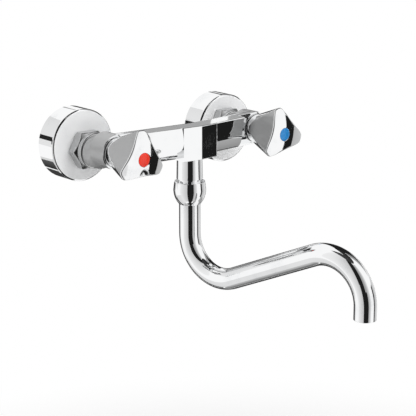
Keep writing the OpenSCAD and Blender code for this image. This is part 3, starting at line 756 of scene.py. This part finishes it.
class MIXER_OT_covers(bpy.types.Operator):
    """Build the two wall covers, with their holes off-centre"""

    bl_idname = "mixer.covers"
    bl_label = "Wall covers"

    def execute(self, context):
        trim = context.scene.mixer_trim
        for side in SIDES:
            low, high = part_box(f"{side}_escutcheon")
            radius = (high.x - low.x) / 2
            back, front = reach(f"{side}_escutcheon")
            edge, tip = trim.cover_edge, 0.0002
            shift = middle(f"{side}_union_nut") - middle(f"{side}_escutcheon")
            inner, inner_front = radius - trim.cover_wall, front - trim.cover_wall

            def hole(height):
                def ring(turn):
                    # distance from the rim's axis to the edge of the hole in this direction
                    along = shift.x * math.cos(turn) + shift.z * math.sin(turn)
                    across = shift.x * math.sin(turn) - shift.z * math.cos(turn)
                    return along + math.sqrt(trim.cover_hole ** 2 - across ** 2), height
                return ring

            def between(part):
                def ring(turn):
                    start = hole(front)(turn)[0]
                    return start + (radius - edge - start) * part, front
                return ring

            rings = [hole(inner_front), hole(front - tip)]
            rings += [between(part) for part in (0.02, 0.3, 0.6, 0.9, 0.97)]
            for part in (0.0, 0.1, 0.5, 0.9, 1.0):
                bulge = trim.cover_bulge * 4 * part * (1 - part)
                rings.append(
                    level(radius - edge * (1 - part) + bulge, front - edge * part + bulge)
                )
            rings += [level(*spot) for spot in (
                (radius, front - 2 * edge), (radius, (back + front) / 2),
                (radius, back + 2 * tip), (radius, back + tip), (radius - tip, back),
                (inner + tip, back), (inner, back + tip), (inner, inner_front - edge / 2),
                (inner - edge / 2, inner_front)
            )]
            mesh = bmesh.new()
            loft(mesh, rings, 2 * trim.turn_steps)
            # the front faces get satin roughness and painted sheen, a pale colour lighter than the
            # chrome
            for face in mesh.faces:
                spot = face.calc_center_median()
                face.material_index = int(spot.z > front - tip and spot.xy.length < radius - edge)
            add_piece(
                mesh, f"{side}_wall_cover", out_of_wall(f"{side}_escutcheon"),
                ["turned_chrome", "satin_chrome"], "mixer", [f"{side}_escutcheon"]
            )
        return {"FINISHED"}


class MIXER_OT_union_nuts(bpy.types.Operator):
    """Build the two union nuts, with turned corners and a round front"""

    bl_idname = "mixer.union_nuts"
    bl_label = "Union nuts"

    def execute(self, context):
        trim = context.scene.mixer_trim
        half, chamfer, nose = trim.nut_flats / 2, trim.nut_chamfer, trim.nut_ring
        corner = half / math.cos(math.radians(30))
        blend, tip, step, shoulder_steps = 0.0005, 0.00015, 0.0002, 12

        def hexagon(limit, height):
            def ring(turn):
                from_flat = math.remainder(turn - math.radians(30), FULL_TURN / 6)
                return soft_min(half / math.cos(from_flat), limit, blend), height
            return ring

        for side in SIDES:
            back, front = reach(f"{side}_union_nut")
            hex_end = back + trim.nut_hex
            start, end = back + chamfer / 2, hex_end - 2 * chamfer
            rings = [level(trim.nut_bore, back + tip), level(trim.nut_bore + tip, back)]
            for part in (0.0, 0.15, 0.35, 0.6, 0.85, 1.0):
                rings.append(hexagon(corner - chamfer * (1 - part), back + chamfer / 2 * part))
            rings += [hexagon(corner, start + (end - start) * part) for part in (0.1, 0.5, 0.9)]
            for number in range(shoulder_steps + 1):
                part = number / shoulder_steps
                limit = corner + (nose - corner) * part
                rings.append(hexagon(limit, hex_end - 2 * chamfer * (1 - part)))
            rings.append(level(nose, hex_end + step))
            # how far in and how far back each ring of the rounded front lies, in chamfers
            for inward, behind in ((0, 0.9), (1 / 24, 0.7), (0.35, 0.3), (0.8, 0.04), (1, 0)):
                rings.append(level(nose - chamfer * inward, front - chamfer * behind))
            rings += [
                level(trim.nut_mouth + tip, front), level(trim.nut_mouth, front - tip),
                level(trim.nut_mouth, front - trim.nut_lip),
                level(trim.nut_bore, front - trim.nut_lip)
            ]
            mesh = bmesh.new()
            loft(mesh, rings, NUT_STEPS)
            # the union nuts get painted shade, a darker chrome colour
            add_piece(
                mesh, f"{side}_coupling_nut", out_of_wall(f"{side}_union_nut"), ["nut_chrome"],
                "mixer", [f"{side}_union_nut"]
            )
        return {"FINISHED"}


class MIXER_OT_swivel_nut(bpy.types.Operator):
    """Build the nut that carries the spout, with its shank and bowl"""

    bl_idname = "mixer.swivel_nut"
    bl_label = "Swivel nut"

    def execute(self, context):
        trim = context.scene.mixer_trim
        _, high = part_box("swivel_nut")
        top = high.z - trim.swivel_shank_length
        wide = top - trim.swivel_upper
        seat = top - trim.tube_seat
        steps, rim, shank_fillet, top_fillet = 12, 0.0001, 0.0003, 0.0006
        outline = [
            (trim.swivel_bore, high.z, 0), (trim.swivel_shank, high.z, shank_fillet),
            (trim.swivel_shank, top, 0), (trim.swivel_top, top, top_fillet),
            (trim.swivel_radius, wide, 0)
        ]
        for number in range(1, steps + 1):
            drop = trim.swivel_bowl * number / steps
            radius = crest(trim.swivel_radius, trim.swivel_curve, drop)
            outline.append((radius, wide - drop, 0))
        outline += [
            (trim.tube_bore, wide - trim.swivel_bowl + rim, 0), (trim.tube_bore, seat, 0),
            (trim.swivel_bore, seat, 0)
        ]
        mesh = bmesh.new()
        lathe(mesh, outline, trim.turn_steps)
        add_piece(
            mesh, "spout_swivel_nut", outlet_axis(), ["turned_chrome"], "mixer",
            ["swivel_nut"]
        )
        return {"FINISHED"}


def tube_skin(mesh, trim, radius, top):
    """One skin of the spout tube, laid out forward along -Y from its axis. Returns its two ends."""
    points, start = first_ring(mesh, TUBE_STEPS, radius)
    bmesh.ops.translate(mesh, verts=points, vec=(0, 0, top))

    def straight(ring, step, parts):
        for _ in range(parts):
            moved, ring = next_ring(mesh, ring)
            bmesh.ops.translate(mesh, verts=moved, vec=step / parts)
        return ring

    def bend(ring, centre, turn):
        made = bmesh.ops.spin(
            mesh, geom=ring, cent=centre, axis=(1, 0, 0), angle=turn, steps=trim.bend_steps
        )
        return open_edges(made["geom_last"])

    climb, full = trim.spout_climb, math.radians(90) + trim.spout_climb
    along = Vector((0, -math.cos(climb), math.sin(climb)))
    under = Vector((0, -math.sin(climb), -math.cos(climb)))
    first = Vector((0, -trim.first_bend, top - trim.spout_drop))
    crest_end = first + trim.first_bend * under + along * trim.spout_straight
    ring = straight(start, Vector((0, 0, -trim.spout_drop)), parts=4)
    ring = bend(ring, first, -full)
    ring = straight(ring, along * trim.spout_straight, parts=8)
    ring = bend(ring, crest_end + trim.second_bend * under, full)
    return start, straight(ring, Vector((0, 0, -trim.spout_end)), parts=2)


class MIXER_OT_spout(bpy.types.Operator):
    """Build the bent spout tube, open at its end"""

    bl_idname = "mixer.spout"
    bl_label = "Spout"

    def execute(self, context):
        trim = context.scene.mixer_trim
        _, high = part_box("spout")
        mesh = bmesh.new()
        skins = [
            tube_skin(mesh, trim, radius, high.z)
            for radius in (trim.tube_radius, trim.tube_radius - trim.tube_wall)
        ]
        rims = [outer + inner for outer, inner in zip(*skins)]
        for rim in rims:
            bmesh.ops.bridge_loops(mesh, edges=rim)
        ease(mesh, rims[0] + rims[1], trim.tube_rim, segments=3)
        turn = Matrix.Rotation(trim.spout_turn, 4, "Z")
        add_piece(
            mesh, "bent_spout", outlet_axis() @ turn, ["drawn_chrome"], "spout",
            ["spout"]
        )
        return {"FINISHED"}


class MIXER_OT_casting(bpy.types.Operator):
    """Build the cast body, with its edges eased"""

    bl_idname = "mixer.casting"
    bl_label = "Cast body"

    def execute(self, context):
        trim = context.scene.mixer_trim
        mesh = bmesh.new()
        mesh.from_mesh(frame["nodes"]["body"].data)
        bmesh.ops.remove_doubles(mesh, verts=mesh.verts, dist=WELD)
        bmesh.ops.dissolve_limit(
            mesh, angle_limit=FLAT, use_dissolve_boundaries=False, verts=mesh.verts,
            edges=mesh.edges
        )
        centre = middle("body").x

        def is_eased(edge):
            """Whether it is a long front edge, but not an upright one left of the middle."""
            one, other = (vert.co for vert in edge.verts)
            left_upright = abs(one.z - other.z) > trim.cast_long and one.x < centre
            return (
                edge.calc_length() > trim.cast_long and one.y < -trim.cast_back
                and SHARP < edge.calc_face_angle(0.0) < BACK_FOLD and not left_upright
            )

        eased = [edge for edge in mesh.edges if is_eased(edge)]
        ease(mesh, eased, trim.cast_edge, segments=4)
        # faces behind the polished front and beyond the waist get satin roughness and painted
        # shade, a darker chrome colour
        for face in mesh.faces:
            spot = face.calc_center_median()
            if spot.y > -trim.cast_back and abs(spot.x - centre) > trim.cast_waist:
                face.material_index = 1
        casting = add_piece(
            mesh, "mixer_casting", frame["nodes"]["body"].matrix_world,
            ["cast_chrome", "cast_satin"], "mixer", ["body"]
        ).data
        # the crease down the middle of the front stays crisp up to its ends
        for edge in casting.edges:
            ends = [casting.vertices[index].co for index in edge.vertices]
            if all(abs(end.x - centre) < WELD and end.y < -trim.cast_front for end in ends):
                edge.use_edge_sharp = True
        return {"FINISHED"}


class MIXER_OT_fittings(bpy.types.Operator):
    """Give every packed piece its finish"""

    bl_idname = "mixer.fittings"
    bl_label = "Packed pieces"

    finishes = {
        "cast_chrome": "body",
        "drawn_chrome": "spout",
        "handle_chrome": "handle",
        "turned_chrome": "escutcheon union_nut swivel_nut",
        "turned_brass": "spout_ferrule inlet_nipple bonnet spindle piston washer_screw",
        "union_brass": "s_union",
        "seal_rubber": "inlet_gasket bonnet_seal spindle_seals seat_washer spout_seals",
        "spring_steel": "spindle_clip handle_screw",
        "slip_ring_plastic": "slip_ring",
        "hot_plastic": "hot_index_cap",
        "cold_plastic": "cold_index_cap",
    }

    def execute(self, context):
        kinds = {kind: made for made, names in self.finishes.items() for kind in names.split()}
        for name, node in frame["nodes"].items():
            kind = name.removeprefix("hot_").removeprefix("cold_")
            node.data.materials.clear()
            node.data.materials.append(finish(kinds[kind if kind in kinds else name]))
        return {"FINISHED"}


# ---- studio


def card(name, centre, distance, first, last, low, high, grey_first, grey_last):
    """A patch of a sphere round the mixer, seen only in its reflections.

    Turns run from straight ahead (-Y) to the right, lifts from level, both in degrees.
    """
    mesh = bmesh.new()
    glow = mesh.verts.layers.float_color.new(GLOW_LAYER)
    start, span = math.radians(first), last - first
    rows = max(2, round((high - low) / CARD_ROW))
    points = []
    for number in range(rows + 1):
        lift = math.radians(low + (high - low) * number / rows)
        away = distance * math.cos(lift)
        points.append(mesh.verts.new(
            (away * math.sin(start), -away * math.cos(start), distance * math.sin(lift))
        ))
    edges = [mesh.edges.new(pair) for pair in zip(points, points[1:])]
    bmesh.ops.spin(
        mesh, geom=points + edges, cent=(0, 0, 0), axis=(0, 0, 1), angle=math.radians(span),
        steps=max(4, round(span / CARD_COLUMN))
    )
    for point in mesh.verts:
        turn = math.degrees(math.atan2(point.co.x, -point.co.y))
        turn += 360 if turn < first - 1 else 0
        part = min(max((turn - first) / span, 0.0), 1.0)
        grey = grey_first + (grey_last - grey_first) * part
        point[glow] = (grey, grey, grey, 1)
    bmesh.ops.translate(mesh, verts=mesh.verts, vec=centre)
    shade = make_object(mesh, name, [finish("card_glow")])
    shade.visible_camera = False
    shade.visible_diffuse = False
    shade.visible_shadow = False


def softbox(name, place, target, width, height, watts):
    """An area lamp that faces a point."""
    lamp = bpy.data.lights.new(name, "AREA")
    lamp.shape = "RECTANGLE"
    lamp.size, lamp.size_y = width, height
    lamp.energy = watts
    box = bpy.data.objects.new(name, lamp)
    box.location = place
    box.rotation_euler = (target - place).to_track_quat("-Z", "Y").to_euler()
    bpy.context.scene.collection.objects.link(box)
    box.visible_glossy = False


def ray_mask(tree, *rays):
    """1 for the named kinds of ray and 0 for the others."""
    path = add_node(tree, "LightPath")
    mask = path.outputs[rays[0]]
    for ray in rays[1:]:
        mask = compute(tree, "MAXIMUM", mask, path.outputs[ray])
    return mask


def mix_shaders(tree, mask, plain, masked, output):
    """Feeds an output with one shader where the mask is 0 and another where it is 1."""
    mix = add_node(tree, "MixShader", {0: mask, 1: plain.outputs[0], 2: masked.outputs[0]})
    feed(tree, output, {0: mix.outputs[0]})


def white_world(studio):
    """White where the camera, metal and glass see it, and a plain ambient light elsewhere."""
    world = bpy.data.worlds.new("Studio")
    bpy.context.scene.world = world
    world.use_nodes = True
    tree = world.node_tree
    tree.nodes.clear()
    seen = ray_mask(tree, "Is Camera Ray", "Is Glossy Ray", "Is Transmission Ray")
    ambient, white = (
        add_node(tree, "Background", {"Color": (1, 1, 1, 1), "Strength": strength})
        for strength in (studio.ambient, 1.0)
    )
    mix_shaders(tree, seen, ambient, white, add_node(tree, "OutputWorld"))


def floor_material(radius, fade_start=0.45, fade_end=0.97):
    """A pale floor that keeps shadows near its middle and runs out into white."""
    material, tree, shader, place = blank_material("pale_floor")
    feed(tree, shader, {"Base Color": (0.93, 0.93, 0.93, 1), "Roughness": 0.9})
    length = add_node(tree, "VectorMath", {0: place})
    length.operation = "LENGTH"
    rim = ramp(tree, length.outputs["Value"], radius * fade_start, radius * fade_end)
    mask = compute(tree, "MULTIPLY", rim, ray_mask(tree, "Is Camera Ray", "Is Glossy Ray"))
    glow = add_node(tree, "Emission", {"Strength": 1.0})
    mix_shaders(tree, mask, shader, glow, tree.nodes["Material Output"])
    return material


# name, place from the middle of the mixer, width, height and watts
SOFTBOXES = (
    ("key_softbox", (0.35, -1.3, 0.9), 0.8, 0.8, 9.0),
    ("left_softbox", (-1.3, -0.1, 0.8), 0.7, 0.9, 6.0),
    ("top_softbox", (0.0, -0.1, 1.5), 0.9, 0.9, 6.0),
)
# name, first and last turn, lowest and highest lift, and the greys at the first and last turn
CARDS = (
    ("left", -112, -56, -62, 62, 0.90, 0.56),
    ("camera_side_high", -60, -23, 10, 78, 0.014, 0.014),
    ("camera_side_low", -57, -11, -88, 10, 0.014, 0.014),
    ("front", -11, 14, -62, 62, 0.38, 0.82),
    ("front_high", -23, -11, 10, 62, 0.36, 0.38),
    ("bar", 46, 60, -34, 13, 0.012, 0.012),
    ("right", 60, 112, -31, 12, 0.48, 0.85),
    ("low_right", 56, 127, -49, -31, 0.40, 0.28),
    ("upper_right", 76, 100, 16, 62, 0.50, 0.12),
    ("back_right", 100, 142, 13, 80, 0.015, 0.015),
    ("right_edge", 116, 137, -30, 13, 0.05, 0.05),
    ("low_right_edge", 127, 137, -62, -30, 0.05, 0.05),
    ("beam_top", 140, 145, 8, 15, 0.40, 0.40),
    ("beam_top_right", 137, 139, 8, 15, 0.40, 0.40),
    ("cover_top", 137, 152, -16, 8, 0.02, 0.02),
    ("below_beam", 137, 152, -62, -16, 0.10, 0.06),
    ("left_edge", 152, 176, -62, -6, 0.045, 0.045),
    ("tube_edge", 176, 191, -29, -6, 0.03, 0.15),
    ("tube_side", 191, 203, -29, -6, 0.40, 0.75),
    ("behind", 152, 180, 8, 23, 0.28, 0.24),
    ("behind_left", 180, 224, -6, 35, 0.74, 0.84),
    ("thin_band", 208, 217, 4, 11.5, 0.02, 0.02),
    ("thin_band_left", 217, 226, 0, 9, 0.02, 0.02),
    ("nadir", -180, 180, -90, -73, 0.014, 0.014),
    ("low_left", 180, 201, -62, -29, 0.02, 0.10),
    ("low_far_left", 201, 255, -64, -26, 0.70, 0.82),
    ("ceiling", -130, 145, 64, 88, 0.06, 0.02),
    ("underneath_left", 200, 260, -88, -64, 0.36, 0.66),
    ("underneath_back", 125, 200, -88, -64, 0.10, 0.30),
)


class MIXER_OT_studio(bpy.types.Operator):
    """Set up the floor, lamps, cards and camera"""

    bl_idname = "mixer.studio"
    bl_label = "Studio"

    def execute(self, context):
        studio = context.scene.mixer_studio
        low, high = cad_box
        centre = (low + high) / 2

        mesh = bmesh.new()
        bmesh.ops.create_circle(mesh, cap_ends=True, segments=128, radius=studio.floor_radius)
        floor = make_object(mesh, "floor", [floor_material(studio.floor_radius)])
        floor.location = (centre.x, centre.y, low.z - studio.floor_depth)
        floor.visible_glossy = False

        white_world(studio)
        for number, (name, *patch) in enumerate(CARDS):
            card(f"card_{name}", centre, studio.card_distance - CARD_STEP * number, *patch)
        for name, place, *settings in SOFTBOXES:
            softbox(name, centre + Vector(place), centre, *settings)

        lens = bpy.data.cameras.new("camera")
        lens.lens = studio.lens
        lens.sensor_width = 36
        lens.clip_start, lens.clip_end = 0.01, 50
        camera = bpy.data.objects.new("camera", lens)
        camera.location = studio.camera_place
        camera.rotation_euler = (studio.camera_pitch, 0, studio.camera_turn)
        context.scene.collection.objects.link(camera)
        context.scene.camera = camera
        context.scene.view_settings.view_transform = "Standard"
        return {"FINISHED"}


# ---- add-on


OPERATORS = (
    MIXER_OT_fittings,
    MIXER_OT_casting,
    MIXER_OT_handles,
    MIXER_OT_index_caps,
    MIXER_OT_covers,
    MIXER_OT_union_nuts,
    MIXER_OT_swivel_nut,
    MIXER_OT_spout,
    MIXER_OT_studio,
)
SETTINGS = (
    ("mixer_handle", MixerHandleSizes),
    ("mixer_trim", MixerTrimSizes),
    ("mixer_looks", MixerLooks),
    ("mixer_studio", MixerStudio),
)


class MIXER_PT_pieces(bpy.types.Panel):
    """Pieces of the mixer"""

    bl_label = "Wall sink mixer"
    bl_space_type = "VIEW_3D"
    bl_region_type = "UI"
    bl_category = "Mixer"

    def draw(self, context):
        for operator in OPERATORS:
            self.layout.operator(operator.bl_idname)
        for name, group in SETTINGS:
            box = self.layout.box()
            box.label(text=group.__doc__)
            for key in group.__annotations__:
                box.prop(getattr(context.scene, name), key)


def register():
    """Registers the classes and hangs the settings on the scene."""
    for name, group in SETTINGS:
        bpy.utils.register_class(group)
        setattr(bpy.types.Scene, name, PointerProperty(type=group))
    for item in (*OPERATORS, MIXER_PT_pieces):
        bpy.utils.register_class(item)


def unregister():
    """Takes away what register added."""
    for item in (MIXER_PT_pieces, *reversed(OPERATORS)):
        bpy.utils.unregister_class(item)
    for name, group in reversed(SETTINGS):
        delattr(bpy.types.Scene, name)
        bpy.utils.unregister_class(group)


def main():
    """Builds every piece and the studio."""
    register()
    for operator in OPERATORS:
        group, name = operator.bl_idname.split(".")
        result = getattr(getattr(bpy.ops, group), name)()
        if "FINISHED" not in result:
            raise RuntimeError(f"{operator.bl_idname} didn't finish")


if __name__ == "__main__":
    main()
